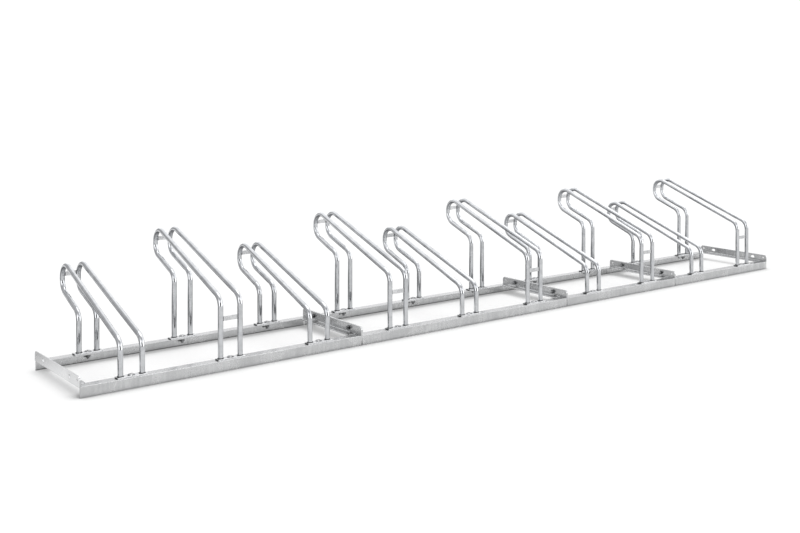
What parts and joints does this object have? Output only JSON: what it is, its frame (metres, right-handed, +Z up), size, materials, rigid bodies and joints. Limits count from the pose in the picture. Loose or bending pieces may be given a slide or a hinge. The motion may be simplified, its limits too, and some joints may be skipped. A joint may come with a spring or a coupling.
{
  "type": "floor bike rack",
  "caption": "Galvanised steel floor rack for cycles parked by one wheel, with bent tube hoops set low and high by turns on bolted angle-steel sections.",
  "frame": {"origin": "middle of the bounding box's footprint, on the floor", "axes": "+X along the row of places, towards the right as seen from the front; -Y is the front, where a cycle is wheeled in; +Y is the back, over which the hooks reach; +Z is up"},
  "size_m": [3.5, 0.5414, 0.4149],
  "materials": {
    "angle_steel": "hot-dip galvanised, matt light grey with faint cloudy patches",
    "hoop_tube": "zinc plated tube, satin mid grey",
    "small_steel": "zinc plated, satin mid grey",
    "fasteners": "zinc plated, duller than the tube"
  },
  "bodies": {
    "root": {"front_rail_1": "angle_steel", "front_rail_2": "angle_steel", "front_rail_3": "angle_steel", "front_rail_4": "angle_steel", "rear_rail_1": "angle_steel", "rear_rail_2": "angle_steel", "rear_rail_3": "angle_steel", "rear_rail_4": "angle_steel", "left_bracket_1": "angle_steel", "left_bracket_2": "angle_steel", "left_bracket_3": "angle_steel", "left_bracket_4": "angle_steel", "right_bracket_1": "angle_steel", "right_bracket_2": "angle_steel", "right_bracket_3": "angle_steel", "right_bracket_4": "angle_steel", "hoop_01_left": "hoop_tube", "hoop_01_right": "hoop_tube", "hoop_02_left": "hoop_tube", "hoop_02_right": "hoop_tube", "hoop_03_left": "hoop_tube", "hoop_03_right": "hoop_tube", "hoop_04_left": "hoop_tube", "hoop_04_right": "hoop_tube", "hoop_05_left": "hoop_tube", "hoop_05_right": "hoop_tube", "hoop_06_left": "hoop_tube", "hoop_06_right": "hoop_tube", "hoop_07_left": "hoop_tube", "hoop_07_right": "hoop_tube", "hoop_08_left": "hoop_tube", "hoop_08_right": "hoop_tube", "hoop_09_left": "hoop_tube", "hoop_09_right": "hoop_tube", "hoop_10_left": "hoop_tube", "hoop_10_right": "hoop_tube", "upper_ties": "small_steel", "lower_ties": "small_steel", "front_feet": "small_steel", "rear_feet": "small_steel", "foot_bolts": "fasteners", "foot_washers": "fasteners", "foot_nuts": "fasteners", "joint_bolts": "fasteners", "joint_washers": "fasteners", "joint_nuts": "fasteners"}
  },
  "joints": []
}
